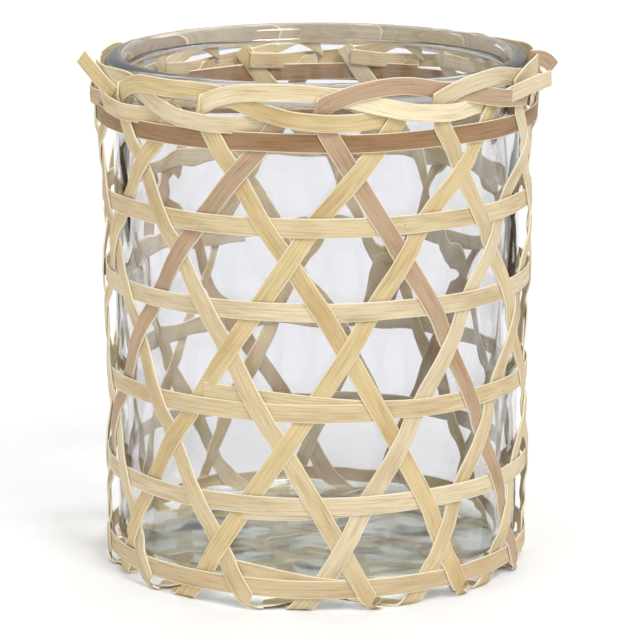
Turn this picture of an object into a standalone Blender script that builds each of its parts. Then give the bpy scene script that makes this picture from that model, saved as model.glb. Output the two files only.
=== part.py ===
"""Candle holder: a clear glass cylinder that stands in an open-weave bamboo sleeve.

Twelve flat bamboo strips make the sleeve. Each one starts in the plaited border, falls down
the wall, crosses under the base, climbs the wall on the far side and ends behind the border.
Six bamboo hoops go round them, so three directions of strip make a hexagonal weave.
The glass stands loose on the woven base and lifts straight out.

Frame: metres, +Z up, origin under the centre of the base, front toward -Y.
A bearing is an angle round the axis in degrees, 0 at the front and growing toward +X.
"""
import math

import bpy
from mathutils import Vector

# Bamboo strips
STRIP_WIDTH = 0.0056
BORDER_WIDTH = 0.0052
STRIP_THICK = 0.0006
LAYER = 0.0010  # from the middle of one strip to the middle of the strip that crosses it

# Weave
STRIPS = 12
STEP = 360 / STRIPS  # bearing from one strip to the next
# Each hoop from the top: height, radius, bearings of the first falling and first rising strip
HOOPS = [
    (0.1423, 0.0674, 4.0, 17.0),
    (0.1171, 0.0660, 16.6, -1.6),
    (0.0918, 0.0656, 30.5, -16.2),
    (0.0612, 0.0653, 44.7, -33.1),
    (0.0328, 0.0653, 58.2, -49.0),
    (0.0072, 0.0653, 69.2, -61.4),
]
# The same four values where the wall begins, at the table, and where the rising strips end
WALL_FOOT = (0.0, 0.0653, 73.0, -67.0)
WALL_TOP = (0.1512, 0.0674, -0.4, 22.2)
HOOP_SIDES = 48
HOOP_REACH = 0.0048  # the wall keeps its radius this far above and below a hoop
LEAN_STEP = 0.0020  # a strip's lean is taken between this far above and below a place

# Layers of the wall, counted outward from the hoops
FALLING_AT_HOOP = 1.0
FALLING_AT_RISING = -0.5
RISING_AT_HOOP = -1.0
RISING_AT_FALLING = 0.5

# Base: the strips of one direction turn in from the edge by the first or the second angle
BASE_TURNS = (10.0, 40.0)
FIRST_BASE_BEARING = 73.0
BASE_LOW = STRIP_THICK / 2
BASE_HIGH = BASE_LOW + LAYER
BASE_REACH = 0.0052  # how far along each side of a crossing a base strip keeps to its layer
# Bend from the wall to the base: height of a point, and how far it lies inside the wall
BEND = [(0.0011, 0.0003), (0.0005, 0.0009)]
BEND_END = 0.0036  # where the strip lies flat, measured along the base from the wall
BEND_LEAN = 0.0040  # height at which a strip's lean into its bend is taken

# Hand weaving: the strips crowd together and spread apart three times round, most at the base
DRIFT = 2.8
DRIFT_LOBES = 3
DRIFT_BEARING = 10.0

# Border: how far a falling strip has turned past its own place at the top hoop, its height
# and its radius, from the fold at its head over its crest to the tail beside the next strips
FOLD = (-4.65, 0.1516)
FOLD_OUTSIDE = 0.0684
FOLD_BULGE = 0.5  # degrees
BORDER = [
    (-0.5, 0.1543, 0.0674),
    (5.0, 0.1564, 0.0676),
    (10.0, 0.1574, 0.0680),
    (15.0, 0.1578, 0.0680),
    (19.5, 0.1575, 0.0670),
    (23.5, 0.1569, 0.0664),
    (30.0, 0.1556, 0.0664),
    (35.0, 0.1543, 0.0664),
    (40.0, 0.1524, 0.0665),
    (44.5, 0.1511, 0.0675),
    (49.5, 0.1499, 0.0691),
    (55.0, 0.1492, 0.0694),
    (60.0, 0.1488, 0.0694),
    (65.5, 0.1486, 0.0689),
]
# How far the crest and the tail of each strip lie above these heights, from the front round
BORDER_LIFTS = [
    (0.0007, 0.0014),
    (0.0003, 0.0008),
    (0.0000, -0.0003),
    (-0.0017, -0.0016),
    (-0.0030, -0.0023),
    (-0.0036, -0.0025),
    (-0.0038, -0.0025),
    (-0.0037, -0.0023),
    (-0.0033, -0.0020),
    (-0.0021, -0.0016),
    (-0.0017, -0.0005),
    (-0.0008, 0.0009),
]
CREST = 16.0  # degrees turned, and as much again to where the lift of the crest has ended
TAIL = (28.0, 42.0)  # degrees turned, where the lift of the tail begins and is whole

# Glass
GLASS_SIDES = 48
GLASS_FOOT = 0.0020
GLASS_PUNT = 0.0026  # underside at the centre
PUNT_WIDTH = 0.0120  # from the foot's corner to the flat underside; half of it stands
GLASS_FLOOR = 0.0055
GLASS_TOP = 0.1590
GLASS_RADIUS = 0.0625
GLASS_BORE = 0.0583
LIP_RADIUS = 0.0652
LIP_HEIGHT = 0.0062
LIP_FILLET = 0.0006
CORNER_OUTSIDE = 0.0085
CORNER_INSIDE = 0.0045

BAMBOO_ROUGHNESS = 0.6
GLASS_ROUGHNESS = 0.05

STRAW = (0.76, 0.62, 0.36, 1.0)
TAN = (0.62, 0.44, 0.24, 1.0)
ROSE = (0.60, 0.42, 0.28, 1.0)
CLEAR = (0.86, 0.92, 0.90, 1.0)
STRIP_COLOURS = [ROSE, STRAW, STRAW, ROSE, STRAW, STRAW, STRAW, TAN, STRAW, STRAW, TAN, STRAW]
HOOP_COLOURS = [TAN, STRAW, STRAW, STRAW, STRAW, TAN]


def clear_scene():
    for old in list(bpy.data.objects):
        bpy.data.objects.remove(old, do_unlink=True)


def make_material(name, colour, roughness, transmission=0.0):
    material = bpy.data.materials.new(name)
    material.use_nodes = True
    shader = material.node_tree.nodes["Principled BSDF"]
    shader.inputs["Base Color"].default_value = colour
    shader.inputs["Roughness"].default_value = roughness
    shader.inputs["Metallic"].default_value = 0.0
    shader.inputs["Transmission Weight"].default_value = transmission
    return material


def make_object(name, vertices, edges, faces, material, collection):
    mesh = bpy.data.meshes.new(name)
    mesh.from_pydata(vertices, edges, faces)
    mesh.materials.append(material)
    piece = bpy.data.objects.new(name, mesh)
    collection.objects.link(piece)
    return piece


def arc(centre_r, centre_z, radius, start, end, steps):
    """Points of an arc in the turned profile, from one angle to another, in degrees."""
    points = []
    for step in range(steps + 1):
        angle = math.radians(start + (end - start) * step / steps)
        points.append((centre_r + radius * math.cos(angle), centre_z + radius * math.sin(angle)))
    return points


def turn(name, profile, sides, material, collection):
    """A turned solid: the closed profile, in (radius, height), swept once round the axis."""
    vertices = [(radius, 0.0, height) for radius, height in profile]
    edges = [(i, (i + 1) % len(profile)) for i in range(len(profile))]
    piece = make_object(name, vertices, edges, [], material, collection)
    screw = piece.modifiers.new("turn", "SCREW")
    screw.steps = sides
    screw.render_steps = sides
    screw.use_merge_vertices = True
    screw.merge_threshold = 0.00001
    screw.use_smooth_shade = True
    return piece


def make_glass(collection):
    """A straight tumbler with rounded bottom corners and a rolled lip."""
    wall_middle = (LIP_RADIUS + GLASS_BORE) / 2
    lip_round = (LIP_RADIUS - GLASS_BORE) / 2
    lip_foot = GLASS_TOP - LIP_HEIGHT
    profile = arc(wall_middle, GLASS_TOP - lip_round, lip_round, 90, -20, 4)
    profile += [(GLASS_RADIUS + LIP_FILLET, lip_foot + LIP_FILLET)]
    profile += [(GLASS_RADIUS, lip_foot - 2 * LIP_FILLET)]
    foot_corner = GLASS_RADIUS - CORNER_OUTSIDE
    profile += arc(foot_corner, GLASS_FOOT + CORNER_OUTSIDE, CORNER_OUTSIDE, 0, -90, 3)
    profile += [(foot_corner - PUNT_WIDTH / 2, GLASS_FOOT), (foot_corner - PUNT_WIDTH, GLASS_PUNT)]
    profile += [(0.0, GLASS_PUNT), (0.0, GLASS_FLOOR)]
    floor_corner = GLASS_BORE - CORNER_INSIDE
    profile += arc(floor_corner, GLASS_FLOOR + CORNER_INSIDE, CORNER_INSIDE, -90, 0, 3)
    profile += arc(wall_middle, GLASS_TOP - lip_round, lip_round, 180, 90, 3)
    glass = make_material("clear_glass", CLEAR, GLASS_ROUGHNESS, 1.0)
    return turn("glass_liner", profile[:-1], GLASS_SIDES, glass, collection)


def make_hoop(index, collection):
    height, radius = HOOPS[index][:2]
    inner, outer = radius - STRIP_THICK / 2, radius + STRIP_THICK / 2
    low, high = height - STRIP_WIDTH / 2, height + STRIP_WIDTH / 2
    profile = [(outer, high), (outer, low), (inner, low), (inner, high)]
    bamboo = make_material(f"hoop_{index + 1}", HOOP_COLOURS[index], BAMBOO_ROUGHNESS)
    return turn(f"hoop_{index + 1}", profile, HOOP_SIDES, bamboo, collection)


def wall_at(height):
    """Radius of the hoops' layer and the bearings of the first falling and rising strip."""
    rows = [WALL_TOP] + HOOPS + [WALL_FOOT]
    for upper, lower in zip(rows, rows[1:]):
        if height >= lower[0]:
            span = upper[0] - lower[0]
            part = (height - lower[0]) / span
            flare = (height - lower[0] - HOOP_REACH) / (span - 2 * HOOP_REACH)
            flare = min(1.0, max(0.0, flare))
            radius = lower[1] + flare * (upper[1] - lower[1])
            return [radius] + [low + part * (high - low) for high, low in zip(upper[2:], lower[2:])]
    return WALL_FOOT[1:]


def strip_crossings():
    """Heights, one between each pair of hoops, where the falling and rising strips cross."""
    heights = []
    for upper, lower in zip(HOOPS, HOOPS[1:]):
        lead = (upper[3] - upper[2]) % STEP
        closing = (upper[3] - upper[2]) - (lower[3] - lower[2])
        heights.append(upper[0] + (lower[0] - upper[0]) * lead / closing)
    return heights


def drift_at(bearing, height, spread):
    """How far the weave strays from an even spacing; spread is 1 at the wall, 0 on the axis."""
    fade = max(0.0, 1 - height / HOOPS[0][0]) * spread ** 2
    return DRIFT * fade * math.cos(math.radians(DRIFT_LOBES * (bearing - DRIFT_BEARING)))


def wall_frame(bearing):
    """The outward and the sideways direction at a bearing."""
    angle = math.radians(bearing)
    outward = Vector((math.sin(angle), -math.cos(angle), 0))
    sideways = Vector((math.cos(angle), math.sin(angle), 0))
    return outward, sideways


def bearing_at(height, lead, number):
    """Bearing of a wall strip at a height; lead is 1 for a falling strip, 2 for a rising one."""
    bearing = wall_at(height)[lead] + STEP * number
    return bearing + drift_at(bearing, height, 1)


def lean_at(height, lead, number):
    """Angle of a wall strip from upright, in radians."""
    above, below = height + LEAN_STEP, height - LEAN_STEP
    turned = bearing_at(above, lead, number) - bearing_at(below, lead, number)
    return math.atan2(abs(math.radians(turned)) * wall_at(height)[0], 2 * LEAN_STEP)


def reach(angle):
    """How far along a strip it lies over another of its width that it crosses at this angle."""
    return STRIP_WIDTH / 2 * (1 + math.cos(angle)) / math.sin(angle)


def leg_levels(lead, number, at_hoop, at_strip):
    """Stations of a wall strip from the top: its height and its layer, flat over each crossing."""
    crossings = [(hoop[0], at_hoop) for hoop in HOOPS]
    crossings += [(height, at_strip) for height in strip_crossings()]
    stations = []
    for height, layer in sorted(crossings, reverse=True):
        lean = lean_at(height, lead, number)
        if layer == at_hoop:
            angle = math.pi / 2 - lean
        else:
            crossing_lead = 3 - lead
            steps_apart = (wall_at(height)[lead] - wall_at(height)[crossing_lead]) / STEP
            angle = lean + lean_at(height, crossing_lead, number + round(steps_apart))
        half = reach(angle) * math.cos(lean)
        stations += [(height + half, layer), (height - half, layer)]
    return stations


def wall_point(height, lead, number, layer, inset=0.0):
    """Middle point and outward normal of a wall strip."""
    outward = wall_frame(bearing_at(height, lead, number))[0]
    radius = wall_at(height)[0] + layer * LAYER - inset
    return outward * radius + Vector((0, 0, height)), outward


def falling_leg(number):
    levels = leg_levels(1, number, FALLING_AT_HOOP, FALLING_AT_RISING)
    return [wall_point(height, 1, number, layer) for height, layer in levels]


def rising_leg(number):
    levels = leg_levels(2, number, RISING_AT_HOOP, RISING_AT_FALLING)
    levels.insert(0, (WALL_TOP[0], RISING_AT_HOOP))
    return [wall_point(height, 2, number, layer) for height, layer in reversed(levels)]


def bend(number, lead, layer):
    """The crease between the wall and the base: middle points and the crease's own line."""
    stations = []
    for height, inset in BEND:
        middle, outward = wall_point(height, lead, number, layer, inset)
        line = Vector((-outward.y, outward.x, 0))
        stations.append((middle, line / math.cos(lean_at(BEND_LEAN, lead, number))))
    return stations


def base_line(number):
    """Where a strip's line crosses the edge of the base, in the plane, before it drifts."""
    start = FIRST_BASE_BEARING + STEP * number
    end = start + 180 - 2 * BASE_TURNS[number % 2]
    return [wall_frame(bearing)[0] * WALL_FOOT[1] for bearing in (start, end)]


def base_crossings(number):
    """Distance along the strip's line and height of each crossing on the base."""
    start, end = base_line(number)
    along = (end - start).normalized()
    found = []
    for other in range(STRIPS):
        turn_between = (number // 2 - other // 2) % 3
        if turn_between == 0:
            continue
        other_start, other_end = base_line(other)
        other_along = (other_end - other_start).normalized()
        gap = other_start - start
        scale = along.x * other_along.y - along.y * other_along.x
        distance = (gap.x * other_along.y - gap.y * other_along.x) / scale
        other_distance = (gap.x * along.y - gap.y * along.x) / scale
        inside = 0 < distance < (end - start).length
        if inside and 0 < other_distance < (other_end - other_start).length:
            found.append((distance, BASE_LOW if turn_between == 1 else BASE_HIGH))
    return sorted(found)


def base_run(number):
    start, end = base_line(number)
    length = (end - start).length
    along = (end - start) / length
    crossings = base_crossings(number)
    levels = [(BEND_END, crossings[0][1])]
    for distance, height in crossings:
        levels += [(distance - BASE_REACH, height), (distance + BASE_REACH, height)]
    levels.append((length - BEND_END, crossings[-1][1]))
    down = Vector((0, 0, -1))
    stations = []
    for distance, height in levels:
        flat = start + along * distance
        bearing = math.degrees(math.atan2(flat.x, -flat.y))
        bearing += drift_at(bearing, 0, flat.length / WALL_FOOT[1])
        stations.append((wall_frame(bearing)[0] * flat.length + Vector((0, 0, height)), down))
    return stations


def fold(number, before):
    """The strip's head, folded back over itself; each station carries its own fold line."""
    turned, height = FOLD
    bearing = HOOPS[0][2] + STEP * number + turned
    outward, sideways = wall_frame(bearing)
    middle = outward * FOLD_OUTSIDE + Vector((0, 0, height))
    first_turned, first_height, inside = BORDER[0]
    arriving = (middle - before).normalized()
    run = math.radians(first_turned - turned) * inside
    leaving = (sideways * run + Vector((0, 0, first_height - height))).normalized()
    line = arriving + leaving
    line -= outward * line.dot(outward)
    line.normalize()
    line /= math.sin(line.angle(leaving))
    between = (FOLD_OUTSIDE + inside) / 2
    places = [(bearing, FOLD_OUTSIDE), (bearing - FOLD_BULGE, between), (bearing, inside)]
    return [(wall_frame(b)[0] * r + Vector((0, 0, height)), line) for b, r in places]


def border_lift(number, turned):
    """How far hand weaving has raised this strip's border above the usual height."""
    crest, tail = BORDER_LIFTS[number]
    in_crest = max(0.0, 1 - abs(turned - CREST) / CREST)
    in_tail = min(1.0, max(0.0, (turned - TAIL[0]) / (TAIL[1] - TAIL[0])))
    return crest * in_crest + tail * in_tail


def border_run(number):
    stations = []
    for turned, height, radius in BORDER:
        bearing = HOOPS[0][2] + STEP * number + turned
        outward = wall_frame(bearing)[0]
        raised = height + border_lift(number, turned)
        stations.append((outward * radius + Vector((0, 0, raised)), -outward))
    return stations


def rulings(stations, width):
    """The strip's two edges at each station, square to its run, from middle points and normals."""
    edges = []
    last = len(stations) - 1
    for i, (middle, normal) in enumerate(stations):
        along = stations[min(i + 1, last)][0] - stations[max(i - 1, 0)][0]
        across = along.cross(normal).normalized() * (width / 2)
        edges.append((middle - across, middle + across))
    return edges


def creases(stations):
    """The strip's two edges at each station of a fold, along the fold's own line."""
    half = STRIP_WIDTH / 2
    return [(middle - line * half, middle + line * half) for middle, line in stations]


def strip_edges(number):
    """Both edges of one whole strip, from its end in the border to its end behind the border."""
    rising_start = FIRST_BASE_BEARING + 180 - 2 * BASE_TURNS[number % 2]
    rising = number + round((rising_start - WALL_FOOT[3]) / STEP)
    falling_wall = falling_leg(number)
    edges = rulings(border_run(number), BORDER_WIDTH)[::-1]
    edges += creases(fold(number, falling_wall[0][0]))[::-1]
    edges += rulings(falling_wall, STRIP_WIDTH)
    edges += creases(bend(number, 1, FALLING_AT_HOOP))
    edges += rulings(base_run(number), STRIP_WIDTH)
    edges += creases(bend(rising, 2, RISING_AT_HOOP))[::-1]
    return edges + rulings(rising_leg(rising), STRIP_WIDTH)


def make_strip(number, collection):
    edges = strip_edges(number)
    vertices = [corner for edge in edges for corner in edge]
    faces = [(2 * i, 2 * i + 1, 2 * i + 3, 2 * i + 2) for i in range(len(edges) - 1)]
    name = f"strip_{number + 1:02d}"
    material = make_material(name, STRIP_COLOURS[number], BAMBOO_ROUGHNESS)
    piece = make_object(name, vertices, [], faces, material, collection)
    piece.data.shade_smooth()
    skin = piece.modifiers.new("thickness", "SOLIDIFY")
    skin.thickness = STRIP_THICK
    skin.offset = 0.0
    return piece


def build():
    clear_scene()
    holder = bpy.data.collections.new("bamboo_candle_holder")
    bpy.context.scene.collection.children.link(holder)
    make_glass(holder)
    for index in range(len(HOOPS)):
        make_hoop(index, holder)
    for number in range(STRIPS):
        make_strip(number, holder)


build()
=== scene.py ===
"""The looks of the candle holder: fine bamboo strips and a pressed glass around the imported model.

Metres, +Z up, front toward -Y. A bearing is an angle round the axis in degrees, 0 at the
front and growing toward +X. The strips follow the same lines as the solids that they replace,
with rounded edges, soft bends, uneven widths and the overlapping ends of the hoops.
"""
import math

import bpy
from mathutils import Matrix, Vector, noise


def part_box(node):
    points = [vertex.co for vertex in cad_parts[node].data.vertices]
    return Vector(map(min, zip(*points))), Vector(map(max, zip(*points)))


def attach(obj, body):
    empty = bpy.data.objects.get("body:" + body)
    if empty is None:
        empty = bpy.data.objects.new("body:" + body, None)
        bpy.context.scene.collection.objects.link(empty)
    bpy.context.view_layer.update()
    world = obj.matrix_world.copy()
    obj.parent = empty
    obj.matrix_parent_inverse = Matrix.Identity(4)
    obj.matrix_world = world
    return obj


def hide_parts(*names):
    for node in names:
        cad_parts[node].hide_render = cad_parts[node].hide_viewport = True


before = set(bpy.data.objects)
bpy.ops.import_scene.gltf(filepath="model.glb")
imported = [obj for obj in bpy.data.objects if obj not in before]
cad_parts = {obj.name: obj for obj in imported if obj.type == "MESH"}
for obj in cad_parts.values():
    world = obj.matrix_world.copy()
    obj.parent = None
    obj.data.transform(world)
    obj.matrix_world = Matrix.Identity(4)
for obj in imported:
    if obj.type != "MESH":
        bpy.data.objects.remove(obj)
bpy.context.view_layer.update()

# Bamboo, as in the model
STRIP_WIDTH = 0.0056
STRIP_THICK = 0.00060
BORDER_WIDTH = 0.0052
LAYER = 0.0010  # from the middle of one strip to the middle of the strip that crosses it
STRIPS = 12
STEP = 360 / STRIPS

# Bamboo, only here
HOOP_THICK = 0.00042  # thinner, so that the overlapping ends fit where the model has one ring
STATION = 0.0008  # length of strip between two sections
SOFTENING = 2  # rounds of smoothing along a strip
WIDTH_SWING = 0.07  # share of the width
WANDER = 0.00010  # how far a strip strays sideways
SWING_RATE = 28  # steps of noise in a metre of strip
WANDER_RATE = 1.6  # the same for the strays, as a share of the above
WANDER_SHIFT = 5.0  # so that a stray doesn't follow the width
SEED_STEP = 7.3  # steps of noise between one strip and the next
SHARP_ANGLE = 50.0  # edges of a strip sharper than this stay crisp

FALLING, RISING = 1, 2  # places of the two bearings in what wall_at gives

# Bearings of the first falling and the first rising strip at each hoop, from the top
LEADS = [(4.0, 17.0), (16.6, -1.6), (30.5, -16.2), (44.7, -33.1), (58.2, -49.0), (69.2, -61.4)]


def hoop_place(index):
    """Height and radius of a hoop of the model."""
    low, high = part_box(f"hoop_{index + 1}")
    return (low.z + high.z) / 2, high.x - STRIP_THICK / 2


# Height, radius of the hoops' layer, and the two bearings
HOOPS = [hoop_place(index) + leads for index, leads in enumerate(LEADS)]
WALL_FOOT = (0.0, HOOPS[-1][1], 73.0, -67.0)
WALL_TOP = (0.1512, HOOPS[0][1], -0.4, 22.2)
HOOP_REACH = 0.0048  # the wall stays upright this far above and below the middle of a hoop
LEAN_STEP = 0.0020  # half the height over which a strip's lean is taken

# Layers of the wall, counted outward from the hoops; pulled a little tighter than in the model
FALLING_AT_HOOP = 0.65
FALLING_AT_RISING = -0.32
RISING_AT_HOOP = -0.83
RISING_AT_FALLING = 0.32

# Base: a strip enters it at one bearing and leaves it nearly opposite
BASE_TURNS = (10.0, 40.0)  # half of what even and odd strips lack to the opposite bearing
FIRST_BASE_BEARING = WALL_FOOT[FALLING + 1]
BASE_LOW = 0.00033
BASE_HIGH = BASE_LOW + LAYER
BASE_REACH = 0.0052  # a strip is flat this far to both sides of a crossing
BEND = [(0.0011, 0.0003), (0.0005, 0.0009)]  # height, and distance inward from the wall
BEND_LEAN = 0.0040  # height at which the lean of a strip into its bend is taken
BEND_END = 0.0036  # distance inward at which the strip is level

# Hand weaving: the strips crowd together and spread apart three times round, most at the base
DRIFT = 2.8
DRIFT_LOBES = 3
DRIFT_BEARING = 10.0

# Border: degrees past the falling strip's own place at the top hoop, height and radius
FOLD = (-4.65, 0.1516)
FOLD_OUTSIDE = 0.0684
FOLD_BULGE = 0.5  # degrees
BORDER = [
    (-0.5, 0.1543, 0.0674),
    (5.0, 0.1564, 0.0676),
    (10.0, 0.1574, 0.0680),
    (15.0, 0.1578, 0.0680),
    (19.5, 0.1575, 0.0670),
    (23.5, 0.1569, 0.0664),
    (30.0, 0.1556, 0.0664),
    (35.0, 0.1543, 0.0668),
    (40.0, 0.1524, 0.0671),
    (44.5, 0.1511, 0.0676),
    (49.5, 0.1499, 0.0691),
    (55.0, 0.1492, 0.0693),
    (60.0, 0.1488, 0.0692),
    (65.5, 0.1486, 0.0672),
    (70.0, 0.1489, 0.0659),
    (76.0, 0.1494, 0.0655),
]
BORDER_PARTS = 5  # stations between two of the rows above
# How far the crest and the tail of each strip lie above these heights, in the strips' order
BORDER_LIFTS = [
    (0.0007, 0.0014),
    (0.0003, 0.0008),
    (0.0000, -0.0003),
    (-0.0017, -0.0016),
    (-0.0030, -0.0023),
    (-0.0036, -0.0025),
    (-0.0038, -0.0025),
    (-0.0037, -0.0023),
    (-0.0033, -0.0020),
    (-0.0021, -0.0016),
    (-0.0017, -0.0005),
    (-0.0008, 0.0009),
]
CREST = 16.0  # degrees past the strip's place where its crest is lifted in full
TAIL = (28.0, 42.0)  # where the lift of the tail starts, and where it is full

# Glass, as in the model
GLASS_LOW, GLASS_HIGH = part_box("glass_liner")
GLASS_SIDES = 192
GLASS_FOOT = GLASS_LOW.z
GLASS_PUNT = GLASS_FOOT + 0.0006  # the underside, inside the ring that the glass stands on
PUNT_WIDTH = 0.0120  # the ring and the slope inside it, half each
GLASS_FLOOR = 0.0055
GLASS_TOP = GLASS_HIGH.z
GLASS_RADIUS = 0.0625
GLASS_BORE = 0.0583
LIP_RADIUS = GLASS_HIGH.x
LIP_HEIGHT = 0.0062
LIP_UNDER = -28  # degrees; the round of the lip ends here outside
LIP_NECK = [(0.0007, 0.0003), (0.0001, -0.0008)]  # out from the wall, up from the lip's foot
CORNER_OUTSIDE = 0.0085
CORNER_INSIDE = 0.0045

# Rings of the glass, outside and inside
LIP_STEPS = (10, 8)
WALL_STEPS = (24, 60)
FLOOR_STEPS = (8, 44)
CORNER_STEPS = 10

# Unevenness of the inner wall: each wave has a share, a size and a seed
WALL_WAVE = 0.00030
WALL_RIPPLES = [(1.0, 0.016, 1.5), (0.4, 0.008, 7.0)]
WALL_STRETCH = 0.7  # heights are scaled by this, which makes the waves taller
WAVE_LOW, WAVE_MORE = 0.45, 1.35  # share low down, and what is added high up
WAVE_RISE = (0.070, 0.045)  # height where more is added, and over how much height
LIP_CALM = (0.006, 0.012)  # no waves this far below the top, and over how much height they fade
FLOOR_RIPPLES = [(0.00060, 0.014, 4.0), (0.00018, 0.006, 9.0)]

# Fine rings round the outside of the foot
RING_DEPTH = 0.00007
RING_RATES = (30, 420)  # steps of noise in a metre, level and upright
RING_RISE = 0.004  # they grow over this height from the foot
RING_FADE = (0.012, 0.014)  # height where they start to fade, and over how much height

# Looks of the glass
CLEAR_TINT = (0.90, 0.90, 0.92)
CLOUD_RATES = (60, 120, 60)
CLOUD_TINTS = [(0.38, (0.80, 0.83, 0.78)), (0.62, (1.0, 1.0, 0.99))]
FOOT_TINT = (0.72, 0.80, 0.72)
BASE_GLASS = (0.0070, 0.0105)  # below the first height the glass is cloudy, above the second clear
BASE_HAZE = 0.09
FOOT_GLASS = (0.0030, 0.0048)  # the same for the green of the foot
LIP_GLASS = (GLASS_TOP - 0.0068, GLASS_TOP - 0.0040)  # clear below the first height, above it partly diffuse as a painted reflection
# Share of the lip's surface made diffuse in the clear tint: a painted reflection of the bright room
LIP_PAINTED_REFLECTION = 0.07
GLASS_BENDING = 1.5  # index of refraction
GLASS_DEPTH_TINT = (0.70, 0.725, 0.725, 1.0)
GLASS_DEPTH = 22.0  # how strongly that tint grows with the depth of glass
GLASS_RELIEF_RATES = (60, 60, 18)
GLASS_RELIEF = (0.10, 0.0006)  # strength and depth

# Colours of bamboo, linear
CREAM = (0.69, 0.58, 0.385)
STRAW = (0.66, 0.535, 0.325)
GOLD = (0.655, 0.515, 0.275)
TAN = (0.55, 0.395, 0.245)
ROSE = (0.49, 0.345, 0.225)
BROWN = (0.34, 0.205, 0.105)
# Pale cream for one border strand, made paler by a painted highlight on the top of the border
PALE_WITH_HIGHLIGHT = (0.84, 0.74, 0.50)
HONEY = (0.60, 0.465, 0.285)
# Paler cut sides of the strips, brightened further as a painted highlight where an edge catches
# light
CUT_EDGE_AND_HIGHLIGHT = (0.92, 0.84, 0.64)
FLECK = (0.20, 0.11, 0.05)

# Surface of bamboo. The map runs along the fibres, in strip widths; rates are steps of noise in
# one width along, and in the whole width across. Ramps give a factor on the colour, or a share.
SEED_SHIFT = (17.0, 3.0)
TINT_BLEND = 3.0  # strip widths, to both sides of the place where two tints meet
TONE_RATES = (0.22, 0.7, 1)
TONES = [(0.30, (0.84, 0.77, 0.67)), (0.50, (1.0, 1.0, 1.0)), (0.70, (1.08, 1.09, 1.10))]
FIBRE_RATES = (0.45, 11.0, 1)
STREAKS = [(0.28, (0.66, 0.58, 0.47)), (0.46, (0.96, 0.945, 0.92)), (0.72, (1.12, 1.12, 1.13))]
STREAK_SHARE = 0.80
STAIN_RATES = (0.30, 2.6, 1)
STAINS = [(0.62, 0.0), (0.74, 1.0)]
STAIN_SHARE = 0.35
FLECK_RATES = (3.5, 9.0, 1)
FLECKS = [(0.70, 0.0), (0.75, 1.0)]
FLECK_SHARE = 0.60
# Where the pale edges lie: partly the cut sides' own colour, partly a painted highlight
EDGE_AND_HIGHLIGHT_STOPS = [(0.445, 0.0), (0.475, 1.0)]  # by distance from the middle of the strip
EDGE_AND_HIGHLIGHT_SHARE = 0.85
BAMBOO_ROUGHNESS = [(0.3, 0.66), (0.7, 0.46)]
BAMBOO_SHINE = 0.35
BAMBOO_RELIEF = (0.60, 0.00015)  # strength and depth

# Each strip's colour in the border, down its falling side, and up its rising side, and how far
# before the end of the base the last one starts
RISING_TINT_START = 0.060
STRIP_TINTS = [
    (ROSE, ROSE, GOLD),
    (CREAM, STRAW, STRAW),
    (CREAM, CREAM, GOLD),
    (STRAW, TAN, ROSE),
    (GOLD, STRAW, CREAM),
    (STRAW, GOLD, GOLD),
    (CREAM, STRAW, STRAW),
    (TAN, TAN, STRAW),
    (STRAW, CREAM, GOLD),
    (CREAM, STRAW, CREAM),
    (GOLD, STRAW, TAN),
    # this strand's border tint carries a painted highlight
    (PALE_WITH_HIGHLIGHT, GOLD, STRAW),
]

# Each hoop: colour, slot, bearing of its inner end, how far that end lies above the hoop, the
# degrees over which it joins the hoop again, and the falling strip that covers its outer end
HOOP_LOOKS = [
    (BROWN, "bamboo_tan", 150.0, 0.0010, 40.0, 7),
    (STRAW, "bamboo_straw", 72.0, 0.0012, 40.0, 4),
    (CREAM, "bamboo_straw", -160.0, -0.0012, 35.0, -4),
    (STRAW, "bamboo_straw", -31.0, 0.0046, 62.0, -1),
    (CREAM, "bamboo_straw", -20.0, -0.0022, 40.0, 0),
    (HONEY, "bamboo_tan", -25.5, 0.0050, 36.0, -1),
]
HOOP_LAPS = (-0.00030, 0.00012)  # inner and outer lap of a hoop, from its radius in the model
HOOP_SIDES = 320
HOOP_STEP_OUT = 30.0  # degrees over which a hoop moves out, past the place of its outer end
HOOP_SWAY = 0.00025
SWAY_RATE = 2.2
SWAY_STEP = 3.1  # steps of noise between one hoop and the next

# Loose ends of the border: name, colour, the bearing that the end's face looks toward, and its
# route as bearing, height and radius
BORDER_ENDS = [
    ("border_end_left", GOLD, -25.0, [
        (-64.0, 0.1506, 0.0674),
        (-69.0, 0.1538, 0.0692),
        (-73.0, 0.1576, 0.0716),
        (-75.5, 0.1602, 0.0733),
    ]),
    ("border_end_right", CREAM, 38.0, [
        (52.0, 0.1508, 0.0680),
        (60.0, 0.1530, 0.0704),
        (67.0, 0.1541, 0.0724),
        (72.0, 0.1544, 0.0738),
    ]),
    ("border_end_rose", ROSE, 30.0, [
        (76.0, 0.1594, 0.0662),
        (80.0, 0.1588, 0.0686),
        (83.0, 0.1571, 0.0708),
        (85.0, 0.1548, 0.0722),
    ]),
]
BORDER_END_WIDTH = 0.0048

# Seeds of the first strip, hoop and border end
STRIP_SEED = 1
HOOP_SEED = 21
BORDER_END_SEED = 31

# Camera, fitted to the photo: degrees down, and a lens in millimetres; then floor and light
CAMERA_PLACE = (0.0, -1.056, 0.3196)
CAMERA_PITCH = 13.02
CAMERA_LENS = 197.4
FLOOR_HALF = 6.0
FLOOR_RATES = (3.0, 3.0, 3.0)
FLOOR_GREYS = [(0.0, 0.90), (1.0, 0.94)]
HORIZON = (0.74, 0.75, 0.76, 1)
OVERHEAD = (1.0, 1.0, 1.0, 1)
OVERHEAD_FROM = 0.45  # sine of the angle above the horizon
ROOM_STRENGTH = 0.64

# Each light: the bearing and the angle above the table that it comes from, its strength and its
# softness, with all angles in degrees
LIGHTS = {
    "key": (30.0, 50.0, 1.5, 22.0),
    "fill": (-45.0, 40.0, 0.4, 40.0),
    "back": (170.0, 50.0, 0.5, 40.0),
}


# ---------------------------------------------------------------- lines of the weave


def ease(share):
    """0 to 1 with soft ends, for a share that may lie outside."""
    share = min(1.0, max(0.0, share))
    return share * share * (3 - 2 * share)


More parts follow.
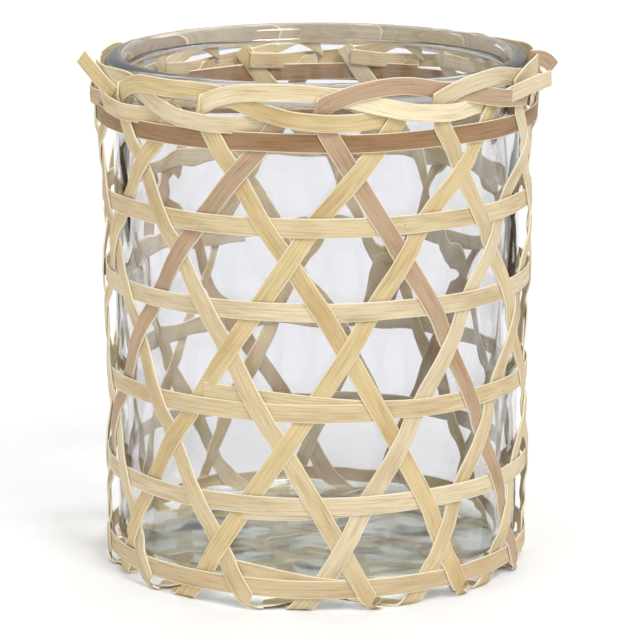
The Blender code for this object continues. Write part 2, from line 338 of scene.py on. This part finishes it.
def wall_at(height):
    """Radius of the hoops' layer and the bearings of the first falling and rising strip."""
    rows = [WALL_TOP] + HOOPS + [WALL_FOOT]
    for upper, lower in zip(rows, rows[1:]):
        if height >= lower[0]:
            span = upper[0] - lower[0]
            part = (height - lower[0]) / span
            flare = (height - lower[0] - HOOP_REACH) / (span - 2 * HOOP_REACH)
            flare = min(1.0, max(0.0, flare))
            radius = lower[1] + flare * (upper[1] - lower[1])
            bearings = [low + part * (high - low) for high, low in zip(upper[2:], lower[2:])]
            return [radius] + bearings
    return WALL_FOOT[1:]


def strip_crossings():
    """Heights, one between each pair of hoops, where the falling and rising strips cross."""
    heights = []
    for upper, lower in zip(HOOPS, HOOPS[1:]):
        lead = (upper[3] - upper[2]) % STEP
        closing = (upper[3] - upper[2]) - (lower[3] - lower[2])
        heights.append(upper[0] + (lower[0] - upper[0]) * lead / closing)
    return heights


def drift_at(bearing, height, spread):
    """Degrees that hand weaving has moved a strip; spread is 1 on the wall, less on the base."""
    fade = max(0.0, 1 - height / HOOPS[0][0]) * spread ** 2
    return DRIFT * fade * math.cos(math.radians(DRIFT_LOBES * (bearing - DRIFT_BEARING)))


def wall_frame(bearing):
    """The outward and the sideways direction at a bearing."""
    angle = math.radians(bearing)
    outward = Vector((math.sin(angle), -math.cos(angle), 0))
    sideways = Vector((math.cos(angle), math.sin(angle), 0))
    return outward, sideways


def bearing_at(height, lead, number):
    """Bearing of a wall strip; lead is FALLING or RISING."""
    bearing = wall_at(height)[lead] + STEP * number
    return bearing + drift_at(bearing, height, 1)


def lean_at(height, lead, number):
    """Angle of a wall strip from upright, in radians."""
    above, below = height + LEAN_STEP, height - LEAN_STEP
    turned = bearing_at(above, lead, number) - bearing_at(below, lead, number)
    return math.atan2(abs(math.radians(turned)) * wall_at(height)[0], 2 * LEAN_STEP)


def reach(angle):
    """How far along a strip it lies over another of its width that it crosses at this angle."""
    return STRIP_WIDTH / 2 * (1 + math.cos(angle)) / math.sin(angle)


def leg_levels(lead, number, at_hoop, at_strip):
    """Heights and layers of a wall strip from the top, flat over each crossing."""
    crossings = [(hoop[0], at_hoop) for hoop in HOOPS]
    crossings += [(height, at_strip) for height in strip_crossings()]
    levels = []
    for height, layer in sorted(crossings, reverse=True):
        lean = lean_at(height, lead, number)
        if layer == at_hoop:
            angle = math.pi / 2 - lean
        else:
            other_lead = RISING if lead == FALLING else FALLING
            steps_apart = (wall_at(height)[lead] - wall_at(height)[other_lead]) / STEP
            angle = lean + lean_at(height, other_lead, number + round(steps_apart))
        half = reach(angle) * math.cos(lean)
        levels += [(height + half, layer), (height - half, layer)]
    return levels


def wall_point(height, lead, number, layer, inset=0.0):
    """Middle point and outward normal of a wall strip."""
    outward = wall_frame(bearing_at(height, lead, number))[0]
    radius = wall_at(height)[0] + layer * LAYER - inset
    return outward * radius + Vector((0, 0, height)), outward


def leg(lead, number, levels):
    """Stations down the wall, close together, from one crossing straight to the next."""
    stations = []
    for (high, layer), (low, next_layer) in zip(levels, levels[1:]):
        parts = max(1, round((high - low) / (2 * STATION)))
        for part in range(parts):
            share = part / parts
            height = high + share * (low - high)
            between = layer + share * (next_layer - layer)
            stations.append(wall_point(height, lead, number, between))
    height, layer = levels[-1]
    stations.append(wall_point(height, lead, number, layer))
    return stations


def falling_leg(number):
    levels = leg_levels(FALLING, number, FALLING_AT_HOOP, FALLING_AT_RISING)
    return leg(FALLING, number, levels)


def rising_leg(number):
    levels = leg_levels(RISING, number, RISING_AT_HOOP, RISING_AT_FALLING)
    levels.insert(0, (WALL_TOP[0], RISING_AT_HOOP))
    return leg(RISING, number, levels)[::-1]


def bend(number, lead, layer):
    """The crease between the wall and the base: middle points and the crease's own line."""
    stations = []
    for height, inset in BEND:
        middle, outward = wall_point(height, lead, number, layer, inset)
        line = Vector((-outward.y, outward.x, 0))
        stations.append((middle, line / math.cos(lean_at(BEND_LEAN, lead, number))))
    return stations


def base_line(number):
    """Where a strip enters the base and where it leaves it."""
    start = FIRST_BASE_BEARING + STEP * number
    end = start + 180 - 2 * BASE_TURNS[number % 2]
    return [wall_frame(bearing)[0] * WALL_FOOT[1] for bearing in (start, end)]


def base_crossings(number):
    """Distance along the strip's line and height of each crossing on the base."""
    start, end = base_line(number)
    along = (end - start).normalized()
    found = []
    for other in range(STRIPS):
        turn_between = (number // 2 - other // 2) % 3
        if turn_between == 0:
            continue
        other_start, other_end = base_line(other)
        other_along = (other_end - other_start).normalized()
        gap = other_start - start
        scale = along.x * other_along.y - along.y * other_along.x
        distance = (gap.x * other_along.y - gap.y * other_along.x) / scale
        other_distance = (gap.x * along.y - gap.y * along.x) / scale
        inside = 0 < distance < (end - start).length
        if inside and 0 < other_distance < (other_end - other_start).length:
            found.append((distance, BASE_LOW if turn_between == 1 else BASE_HIGH))
    return sorted(found)


def base_run(number):
    """Stations across the base, level over each crossing, with the outer face down."""
    start, end = base_line(number)
    length = (end - start).length
    along = (end - start) / length
    crossings = base_crossings(number)
    levels = [(BEND_END, crossings[0][1])]
    for distance, height in crossings:
        levels += [(distance - BASE_REACH, height), (distance + BASE_REACH, height)]
    levels.append((length - BEND_END, crossings[-1][1]))
    down = Vector((0, 0, -1))
    stations = []
    for distance, height in levels:
        flat = start + along * distance
        bearing = math.degrees(math.atan2(flat.x, -flat.y))
        bearing += drift_at(bearing, 0, flat.length / WALL_FOOT[1])
        stations.append((wall_frame(bearing)[0] * flat.length + Vector((0, 0, height)), down))
    return stations


def fold(number, before):
    """The strip's head, folded back over itself; each station carries its own fold line."""
    turned, height = FOLD
    bearing = HOOPS[0][2] + STEP * number + turned
    outward, sideways = wall_frame(bearing)
    middle = outward * FOLD_OUTSIDE + Vector((0, 0, height))
    first_turned, first_height, inside = BORDER[0]
    arriving = (middle - before).normalized()
    run = math.radians(first_turned - turned) * inside
    leaving = (sideways * run + Vector((0, 0, first_height - height))).normalized()
    line = arriving + leaving
    line -= outward * line.dot(outward)
    line.normalize()
    line /= math.sin(line.angle(leaving))
    between = (FOLD_OUTSIDE + inside) / 2
    places = [(bearing, FOLD_OUTSIDE), (bearing - FOLD_BULGE, between), (bearing, inside)]
    return [(wall_frame(b)[0] * r + Vector((0, 0, height)), line) for b, r in places]


def curve_through(rows, parts):
    """Rows of numbers joined by a smooth curve, with some steps between each pair."""
    fine = []
    last = len(rows) - 1
    for i in range(last):
        four = [rows[max(i - 1, 0)], rows[i], rows[i + 1], rows[min(i + 2, last)]]
        for part in range(parts):
            t = part / parts
            weights = (
                (-t + 2 * t * t - t ** 3) / 2,
                (2 - 5 * t * t + 3 * t ** 3) / 2,
                (t + 4 * t * t - 3 * t ** 3) / 2,
                (t ** 3 - t * t) / 2,
            )
            fine.append([sum(w * v for w, v in zip(weights, values)) for values in zip(*four)])
    return fine + [list(rows[-1])]


def border_lift(number, turned):
    """How far hand weaving has raised this strip's border above the usual height."""
    crest, tail = BORDER_LIFTS[number]
    in_crest = max(0.0, 1 - abs(turned - CREST) / CREST)
    in_tail = min(1.0, max(0.0, (turned - TAIL[0]) / (TAIL[1] - TAIL[0])))
    return crest * ease(in_crest) + tail * ease(in_tail)


def border_run(number):
    """Stations of the folded-over end along the border; its outer face has turned inward."""
    stations = []
    for turned, height, radius in curve_through(BORDER, BORDER_PARTS):
        outward = wall_frame(HOOPS[0][2] + STEP * number + turned)[0]
        raised = height + border_lift(number, turned)
        stations.append((outward * radius + Vector((0, 0, raised)), -outward))
    return stations


# ---------------------------------------------------------------- strips from lines


def rulings(stations, width):
    """The strip's two edges at each station, square to its run, from middle points and normals."""
    edges = []
    last = len(stations) - 1
    for i, (middle, normal) in enumerate(stations):
        along = stations[min(i + 1, last)][0] - stations[max(i - 1, 0)][0]
        across = along.cross(normal).normalized() * (width / 2)
        edges.append((middle - across, middle + across))
    return edges


def creases(stations):
    """The strip's two edges where it folds, from middle points and fold lines."""
    half = STRIP_WIDTH / 2
    return [(middle - line * half, middle + line * half) for middle, line in stations]


def strip_edges(number):
    """Edges of one whole strip, and how far along it the border and the base end."""
    rising_start = FIRST_BASE_BEARING + 180 - 2 * BASE_TURNS[number % 2]
    rising = number + round((rising_start - WALL_FOOT[3]) / STEP)
    falling_wall = falling_leg(number)
    edges = rulings(border_run(number), BORDER_WIDTH)[::-1]
    edges += creases(fold(number, falling_wall[0][0]))[::-1]
    border_end = run_length(edges)
    edges += rulings(falling_wall, STRIP_WIDTH)
    edges += creases(bend(number, FALLING, FALLING_AT_HOOP))
    edges += rulings(base_run(number), STRIP_WIDTH)
    base_end = run_length(edges)
    edges += creases(bend(rising, RISING, RISING_AT_HOOP))[::-1]
    edges += rulings(rising_leg(rising), STRIP_WIDTH)
    return edges, border_end, base_end


def middles(edges):
    return [(left + right) / 2 for left, right in edges]


def run_length(edges):
    line = middles(edges)
    return sum((after - before).length for before, after in zip(line, line[1:]))


def even_out(edges, spacing):
    """The same strip with sections at an even spacing."""
    line = middles(edges)
    travelled = [0.0]
    for before, after in zip(line, line[1:]):
        travelled.append(travelled[-1] + (after - before).length)
    count = round(travelled[-1] / spacing)
    fine = []
    i = 0
    for step in range(count + 1):
        distance = travelled[-1] * step / count
        while i < len(edges) - 2 and travelled[i + 1] < distance:
            i += 1
        share = (distance - travelled[i]) / (travelled[i + 1] - travelled[i])
        share = min(1.0, max(0.0, share))
        fine.append(tuple(a.lerp(b, share) for a, b in zip(edges[i], edges[i + 1])))
    return fine


def soften(edges, rounds):
    """The same strip with its corners rounded by taking means; the ends stay."""
    for _ in range(rounds):
        inner = []
        for before, here, after in zip(edges, edges[1:], edges[2:]):
            inner.append(tuple(a / 4 + b / 2 + c / 4 for a, b, c in zip(before, here, after)))
        edges = [edges[0]] + inner + [edges[-1]]
    return edges


def make_uneven(edges, seed):
    """Hand-split bamboo: the width swings a little and the strip strays sideways."""
    uneven = []
    for i, (left, right) in enumerate(edges):
        place = Vector((i * STATION * SWING_RATE, seed * SEED_STEP, 0.0))
        swing = 1 + WIDTH_SWING * noise.noise(place)
        stray_place = place * WANDER_RATE + Vector((0, 0, WANDER_SHIFT))
        stray = WANDER * noise.noise(stray_place)
        half = (right - left) / 2
        middle = (left + right) / 2 + half.normalized() * stray
        uneven.append((middle - half * swing, middle + half * swing))
    return uneven


# A strip's section, from edge to edge over the outer face and back under: share of the half
# width, and share of the thickness
SECTION = [
    (-1.0, 0.10), (-0.965, 0.40), (-0.86, 0.49), (-0.45, 0.50), (0.0, 0.52), (0.45, 0.50),
    (0.86, 0.49), (0.965, 0.40), (1.0, 0.10), (1.0, -0.20), (0.95, -0.45), (0.80, -0.50),
    (0.0, -0.50), (-0.80, -0.50), (-0.95, -0.45), (-1.0, -0.20),
]


def add_mesh(name, vertices, faces, material):
    mesh = bpy.data.meshes.new(name)
    mesh.from_pydata(vertices, [], faces)
    mesh.materials.append(material)
    piece = bpy.data.objects.new(name, mesh)
    bpy.context.scene.collection.objects.link(piece)
    return piece


def make_ribbon(name, edges, thickness, material, seed):
    """A closed strip along its edges, with a UV map that runs along the fibres."""
    edges = make_uneven(soften(even_out(edges, STATION), SOFTENING), seed)
    line = middles(edges)
    last = len(edges) - 1
    vertices = []
    for i, (left, right) in enumerate(edges):
        half = (right - left) / 2
        along = line[min(i + 1, last)] - line[max(i - 1, 0)]
        normal = half.cross(along).normalized()
        for across, lift in SECTION:
            vertices.append(line[i] + half * across + normal * (lift * thickness))
    ring = len(SECTION)
    faces = [tuple(range(ring))]
    for i in range(last):
        here, ahead = i * ring, (i + 1) * ring
        for k in range(ring):
            after = (k + 1) % ring
            faces.append((here + k, ahead + k, ahead + after, here + after))
    faces.append(tuple(last * ring + k for k in reversed(range(ring))))
    piece = add_mesh(name, vertices, faces, material)
    mesh = piece.data
    fibres = mesh.uv_layers.new(name="fibres")
    for loop in mesh.loops:
        i, k = divmod(loop.vertex_index, ring)
        along = i * STATION / STRIP_WIDTH
        fibres.data[loop.index].uv = (along, (SECTION[k][0] + 1) / 2)
    mesh.shade_smooth()
    mesh.set_sharp_from_angle(angle=math.radians(SHARP_ANGLE))
    return piece


def hoop_edges(index, start, lift, join, cover):
    """One hoop from its inner end, once round, to its outer end under a falling strip.

    The arguments after the first are the last four values of its row in HOOP_LOOKS.
    """
    height, radius = HOOPS[index][:2]
    inner, outer = [radius + lap for lap in HOOP_LAPS]
    outer_end = bearing_at(height, FALLING, cover)
    overlap = (outer_end - start) % 360
    stations = []
    for step in range(HOOP_SIDES + 1):
        turned = (360 + overlap) * step / HOOP_SIDES
        raised = lift * (1 - ease(turned / join))
        depth = inner + (outer - inner) * ease((turned - overlap) / HOOP_STEP_OUT)
        outward = wall_frame(start + turned)[0]
        sway = HOOP_SWAY * noise.noise(outward * SWAY_RATE + Vector((0, 0, index * SWAY_STEP)))
        stations.append((outward * depth + Vector((0, 0, height + raised + sway)), -outward))
    return rulings(stations, STRIP_WIDTH)


# ---------------------------------------------------------------- materials


class Nodes:
    """Short calls for the nodes of one material."""

    def __init__(self, name):
        self.material = bpy.data.materials.new(name)
        self.material.use_nodes = True
        self.tree = self.material.node_tree
        self.shader = self.tree.nodes["Principled BSDF"]

    def add(self, kind, **settings):
        node = self.tree.nodes.new(kind)
        for key, value in settings.items():
            setattr(node, key, value)
        return node

    def link(self, source, target):
        self.tree.links.new(source, target)

    def math(self, operation, first, second):
        node = self.add("ShaderNodeMath", operation=operation)
        for socket, value in zip(node.inputs, (first, second)):
            self.plug(value, socket)
        return node.outputs[0]

    def plug(self, value, socket):
        if isinstance(value, bpy.types.NodeSocket):
            self.link(value, socket)
        else:
            socket.default_value = value

    def stretched(self, source, scale, offset=(0, 0, 0)):
        node = self.add("ShaderNodeMapping")
        node.inputs["Scale"].default_value = scale
        node.inputs["Location"].default_value = offset
        self.link(source, node.inputs["Vector"])
        return node.outputs[0]

    def noise(self, source, scale, detail, offset=(0, 0, 0)):
        """Smooth noise, with its steps set by the three scales."""
        node = self.add("ShaderNodeTexNoise")
        node.inputs["Scale"].default_value = 1.0
        node.inputs["Detail"].default_value = detail
        self.link(self.stretched(source, scale, offset), node.inputs["Vector"])
        return node.outputs["Fac"]

    def ramp(self, source, stops):
        """A colour ramp; each stop is a place and a grey or a colour."""
        node = self.add("ShaderNodeValToRGB")
        self.link(source, node.inputs[0])
        points = node.color_ramp.elements
        while len(points) < len(stops):
            points.new(0.5)
        for point, (place, colour) in zip(points, stops):
            if isinstance(colour, float):
                colour = (colour,) * 3
            point.position = place
            point.color = colour + (1,)
        return node.outputs[0]

    def within(self, source, start, end):
        """0 where the source is at the start, 1 at the end, eased between."""
        node = self.add("ShaderNodeMapRange", interpolation_type="SMOOTHSTEP")
        node.inputs["From Min"].default_value = start
        node.inputs["From Max"].default_value = end
        self.link(source, node.inputs["Value"])
        return node.outputs[0]

    def mix(self, factor, first, second, blend="MIX"):
        node = self.add("ShaderNodeMix", data_type="RGBA", blend_type=blend)
        # A mix of colours takes them at inputs 6 and 7 and gives them at output 2
        for key, value in ((0, factor), (6, first), (7, second)):
            if isinstance(value, tuple):
                value = value + (1,)
            self.plug(value, node.inputs[key])
        return node.outputs[2]

    def relief(self, height, strength, depth):
        """Fine unevenness of the surface, from a grey."""
        node = self.add("ShaderNodeBump")
        node.inputs["Strength"].default_value = strength
        node.inputs["Distance"].default_value = depth
        self.link(height, node.inputs["Height"])
        self.link(node.outputs[0], self.shader.inputs["Normal"])


def bamboo(name, seed, tints, borders):
    """Split bamboo: lengthwise fibres, slow changes of tone, dark flecks, and pale edges that are
    partly the cut sides' own colour and partly a painted highlight.

    tints are the colours along the strip, borders the places in strip widths where they meet.
    """
    nodes = Nodes(name)
    uv = nodes.add("ShaderNodeUVMap", uv_map="fibres").outputs[0]
    axes = nodes.add("ShaderNodeSeparateXYZ")
    nodes.link(uv, axes.inputs[0])
    along, across = axes.outputs[0], axes.outputs[1]
    shift = (seed * SEED_SHIFT[0], seed * SEED_SHIFT[1], 0)

    colour = tints[0]
    for place, tint in zip(borders, tints[1:]):
        beyond = nodes.within(along, place - TINT_BLEND, place + TINT_BLEND)
        colour = nodes.mix(beyond, colour, tint)
    tone = nodes.noise(uv, TONE_RATES, detail=3.0, offset=shift)
    colour = nodes.mix(1.0, colour, nodes.ramp(tone, TONES), "MULTIPLY")
    fibre = nodes.noise(uv, FIBRE_RATES, detail=5.0, offset=shift)
    colour = nodes.mix(STREAK_SHARE, colour, nodes.ramp(fibre, STREAKS), "MULTIPLY")
    stain = nodes.noise(uv, STAIN_RATES, detail=3.0, offset=shift[::-1])
    stain = nodes.ramp(stain, STAINS)
    colour = nodes.mix(nodes.math("MULTIPLY", stain, STAIN_SHARE), colour, BROWN)
    fleck = nodes.noise(uv, FLECK_RATES, detail=2.0, offset=shift)
    fleck = nodes.ramp(fleck, FLECKS)
    colour = nodes.mix(nodes.math("MULTIPLY", fleck, FLECK_SHARE), colour, FLECK)
    # Both edges of each strip are made paler: partly the cut side's own colour, partly a painted
    # highlight
    from_middle = nodes.math("ABSOLUTE", nodes.math("SUBTRACT", across, 0.5), 0.0)
    edge = nodes.ramp(from_middle, EDGE_AND_HIGHLIGHT_STOPS)
    colour = nodes.mix(nodes.math("MULTIPLY", edge, EDGE_AND_HIGHLIGHT_SHARE), colour, CUT_EDGE_AND_HIGHLIGHT)
    nodes.link(colour, nodes.shader.inputs["Base Color"])

    nodes.link(nodes.ramp(fibre, BAMBOO_ROUGHNESS), nodes.shader.inputs["Roughness"])
    nodes.shader.inputs["Specular IOR Level"].default_value = BAMBOO_SHINE
    nodes.relief(fibre, *BAMBOO_RELIEF)
    return nodes.material


def clear_glass():
    """Clear soda glass: cloudy in the base, green in the foot, and partly diffuse in the lip as a
    painted reflection of the bright room.
    """
    nodes = Nodes("clear_glass")
    shader = nodes.shader
    place = nodes.add("ShaderNodeTexCoord").outputs["Object"]
    axes = nodes.add("ShaderNodeSeparateXYZ")
    nodes.link(place, axes.inputs[0])
    in_base = nodes.within(axes.outputs[2], BASE_GLASS[1], BASE_GLASS[0])
    in_foot = nodes.within(axes.outputs[2], FOOT_GLASS[1], FOOT_GLASS[0])
    in_lip = nodes.within(axes.outputs[2], LIP_GLASS[0], LIP_GLASS[1])
    tint = nodes.ramp(nodes.noise(place, CLOUD_RATES, detail=3.0), CLOUD_TINTS)
    tint = nodes.mix(in_foot, tint, FOOT_TINT)
    nodes.link(nodes.mix(in_base, CLEAR_TINT, tint), shader.inputs["Base Color"])
    nodes.link(nodes.math("MULTIPLY", in_base, BASE_HAZE), shader.inputs["Roughness"])
    # painted reflection: the lip turns partly diffuse so that it shows light grey
    lip_reflection_share = nodes.math("MULTIPLY", in_lip, LIP_PAINTED_REFLECTION)
    nodes.link(nodes.math("SUBTRACT", 1.0, lip_reflection_share), shader.inputs["Transmission Weight"])
    shader.inputs["IOR"].default_value = GLASS_BENDING
    nodes.relief(nodes.noise(place, GLASS_RELIEF_RATES, detail=2.0), *GLASS_RELIEF)
    depth = nodes.add("ShaderNodeVolumeAbsorption")
    depth.inputs["Color"].default_value = GLASS_DEPTH_TINT
    depth.inputs["Density"].default_value = GLASS_DEPTH
    output = nodes.tree.nodes["Material Output"]
    nodes.link(depth.outputs[0], output.inputs["Volume"])
    return nodes.material


def plain_floor():
    nodes = Nodes("pale_floor")
    source = nodes.add("ShaderNodeTexCoord").outputs["Object"]
    grain = nodes.noise(source, FLOOR_RATES, detail=2.0)
    nodes.link(nodes.ramp(grain, FLOOR_GREYS), nodes.shader.inputs["Base Color"])
    nodes.shader.inputs["Roughness"].default_value = 0.9
    return nodes.material


# ---------------------------------------------------------------- glass


def arc(centre_r, centre_z, radius, start, end, steps):
    """Points of an arc in the turned outline, with angles in degrees from level outward."""
    points = []
    for step in range(steps + 1):
        angle = math.radians(start + (end - start) * step / steps)
        points.append((centre_r + radius * math.cos(angle), centre_z + radius * math.sin(angle)))
    return points


def straight(start, end, steps):
    """Points between two ends, without the ends."""
    points = []
    for step in range(1, steps):
        points.append(tuple(a + (b - a) * step / steps for a, b in zip(start, end)))
    return points


def glass_profile():
    """The turned outline from the top of the lip, down the outside and up the inside."""
    wall_middle = (LIP_RADIUS + GLASS_BORE) / 2
    lip_round = (LIP_RADIUS - GLASS_BORE) / 2
    lip_middle = GLASS_TOP - lip_round
    lip_foot = GLASS_TOP - LIP_HEIGHT
    outside = arc(wall_middle, lip_middle, lip_round, 90, LIP_UNDER, LIP_STEPS[0])
    outside += [(GLASS_RADIUS + out, lip_foot + up) for out, up in LIP_NECK]
    foot_corner = GLASS_RADIUS - CORNER_OUTSIDE
    corner_middle = GLASS_FOOT + CORNER_OUTSIDE
    corner = arc(foot_corner, corner_middle, CORNER_OUTSIDE, 0, -90, CORNER_STEPS)
    outside += straight(outside[-1], corner[0], WALL_STEPS[0]) + corner
    outside += [(foot_corner - PUNT_WIDTH / 2, GLASS_FOOT), (foot_corner - PUNT_WIDTH, GLASS_PUNT)]
    outside += straight(outside[-1], (0.0, GLASS_PUNT), FLOOR_STEPS[0])
    floor_corner = GLASS_BORE - CORNER_INSIDE
    corner_middle = GLASS_FLOOR + CORNER_INSIDE
    inside = straight((0.0, GLASS_FLOOR), (floor_corner, GLASS_FLOOR), FLOOR_STEPS[1])
    inside += arc(floor_corner, corner_middle, CORNER_INSIDE, -90, 0, CORNER_STEPS)
    lip_inside = arc(wall_middle, lip_middle, lip_round, 180, 90, LIP_STEPS[1])
    inside += straight(inside[-1], lip_inside[0], WALL_STEPS[1]) + lip_inside[:-1]
    return outside, inside


def ripples(place, waves):
    """Height of some waves added up; each has a share, a size and a seed."""
    total = 0.0
    for share, size, seed in waves:
        total += share * noise.noise(place / size + Vector((seed, 0, 0)))
    return total


def foot_rings(place, height):
    """How far the fine rings round the foot stand out."""
    level, upright = RING_RATES
    start, length = RING_FADE
    shown = ease((height - GLASS_FOOT) / RING_RISE) * (1 - ease((height - start) / length))
    rings = noise.noise(Vector((place.x * level, place.y * level, height * upright)))
    return RING_DEPTH * rings * shown


def glass_point(radius, height, bearing, is_inside):
    """A point of the glass; the inside of a pressed glass is uneven, most in its floor."""
    outward = wall_frame(bearing)[0]
    place = outward * radius + Vector((0, 0, height))
    if not is_inside:
        return place + outward * foot_rings(place, height)
    below_lip = ease((GLASS_TOP - LIP_CALM[0] - height) / LIP_CALM[1])
    in_floor = 1 - ease((height - GLASS_FLOOR) / CORNER_INSIDE)
    upper = WAVE_LOW + WAVE_MORE * ease((height - WAVE_RISE[0]) / WAVE_RISE[1])
    wave = ripples(Vector((place.x, place.y, place.z * WALL_STRETCH)), WALL_RIPPLES)
    place += outward * (WALL_WAVE * upper * wave * below_lip * (1 - in_floor))
    place.z += ripples(place, FLOOR_RIPPLES) * in_floor
    return place


def make_glass():
    """The profile turned round the axis, closed at both sides of the floor."""
    outside, inside = glass_profile()
    rows = [(point, False) for point in outside] + [(point, True) for point in inside]
    vertices = []
    for (radius, height), is_inside in rows:
        for side in range(GLASS_SIDES):
            vertices.append(glass_point(radius, height, 360 * side / GLASS_SIDES, is_inside))
    faces = []
    under = len(outside) - 1
    for row in range(len(rows)):
        if row == under:
            continue
        after = (row + 1) % len(rows)
        for side in range(GLASS_SIDES):
            beside = (side + 1) % GLASS_SIDES
            faces.append((
                row * GLASS_SIDES + side,
                after * GLASS_SIDES + side,
                after * GLASS_SIDES + beside,
                row * GLASS_SIDES + beside,
            ))
    for row, height, flip in ((under, GLASS_PUNT, False), (under + 1, GLASS_FLOOR, True)):
        centre = len(vertices)
        vertices.append(Vector((0, 0, height)))
        for side in range(GLASS_SIDES):
            pair = (row * GLASS_SIDES + side, row * GLASS_SIDES + (side + 1) % GLASS_SIDES)
            faces.append((centre,) + (pair if flip else pair[::-1]))
    piece = add_mesh("pressed_glass", vertices, faces, clear_glass())
    piece.data.shade_smooth()
    piece.visible_shadow = False  # light falls through clear glass
    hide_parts("glass_liner")
    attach(piece, "glass")


# ---------------------------------------------------------------- pieces


def make_strip(number):
    edges, border_end, base_end = strip_edges(number)
    places = (border_end / STRIP_WIDTH, (base_end - RISING_TINT_START) / STRIP_WIDTH)
    node = f"strip_{number + 1:02d}"
    seed = STRIP_SEED + number
    material = bamboo(f"bamboo_{node}", seed, STRIP_TINTS[number], places)
    piece = make_ribbon(f"bamboo_{node}", edges, STRIP_THICK, material, seed)
    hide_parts(node)
    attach(piece, "sleeve")


def make_hoop(index):
    tint, slot, start, lift, join, cover = HOOP_LOOKS[index]
    node = f"hoop_{index + 1}"
    seed = HOOP_SEED + index
    material = bamboo(f"bamboo_{node}", seed, (tint,), ())
    edges = hoop_edges(index, start, lift, join, cover)
    piece = make_ribbon(f"bamboo_{node}", edges, HOOP_THICK, material, seed)
    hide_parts(node)
    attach(piece, "sleeve")


def make_border_end(name, tint, facing, rows, seed):
    face = wall_frame(facing)[0]
    stations = []
    for bearing, height, radius in curve_through(rows, BORDER_PARTS):
        place = wall_frame(bearing)[0] * radius + Vector((0, 0, height))
        stations.append((place, -face))
    edges = rulings(stations, BORDER_END_WIDTH)
    material = bamboo(f"bamboo_{name}", seed, (tint,), ())
    piece = make_ribbon(name, edges, STRIP_THICK, material, seed)
    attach(piece, "sleeve")


def make_stage():
    corners = [(-1, -1), (1, -1), (1, 1), (-1, 1)]
    vertices = [(FLOOR_HALF * x, FLOOR_HALF * y, 0) for x, y in corners]
    floor = add_mesh("floor", vertices, [(0, 1, 2, 3)], plain_floor())


def add_light(name, bearing, height, strength, softness):
    """A soft, even light from a bearing and an angle above the table, both in degrees."""
    data = bpy.data.lights.new(name, "SUN")
    data.energy = strength
    data.angle = math.radians(softness)
    light = bpy.data.objects.new(name, data)
    rise = math.radians(height)
    source = wall_frame(bearing)[0] * math.cos(rise) + Vector((0, 0, math.sin(rise)))
    light.rotation_euler = source.to_track_quat("Z", "Y").to_euler()
    bpy.context.scene.collection.objects.link(light)


def make_world():
    """A pale room, greyer toward the horizon so that clear glass has edges."""
    world = bpy.data.worlds.new("room")
    bpy.context.scene.world = world
    world.use_nodes = True
    tree = world.node_tree
    coordinate = tree.nodes.new("ShaderNodeTexCoord")
    axes = tree.nodes.new("ShaderNodeSeparateXYZ")
    ramp = tree.nodes.new("ShaderNodeValToRGB")
    tree.links.new(coordinate.outputs["Generated"], axes.inputs[0])
    tree.links.new(axes.outputs[2], ramp.inputs[0])
    tree.links.new(ramp.outputs[0], tree.nodes["Background"].inputs["Color"])
    points = ramp.color_ramp.elements
    points[0].position = 0.0
    points[0].color = HORIZON
    points[1].position = OVERHEAD_FROM
    points[1].color = OVERHEAD
    tree.nodes["Background"].inputs["Strength"].default_value = ROOM_STRENGTH


def make_camera():
    data = bpy.data.cameras.new("camera")
    data.lens = CAMERA_LENS
    camera = bpy.data.objects.new("camera", data)
    camera.location = CAMERA_PLACE
    camera.rotation_euler = (math.radians(90 - CAMERA_PITCH), 0, 0)
    bpy.context.scene.collection.objects.link(camera)
    bpy.context.scene.camera = camera


make_camera()
make_world()
for name, values in LIGHTS.items():
    add_light(name, *values)
make_stage()
make_glass()
for hoop in range(len(HOOPS)):
    make_hoop(hoop)
for strip in range(STRIPS):
    make_strip(strip)
for seed, (name, tint, facing, rows) in enumerate(BORDER_ENDS, start=BORDER_END_SEED):
    make_border_end(name, tint, facing, rows, seed)
bpy.context.scene.view_settings.view_transform = "Standard"
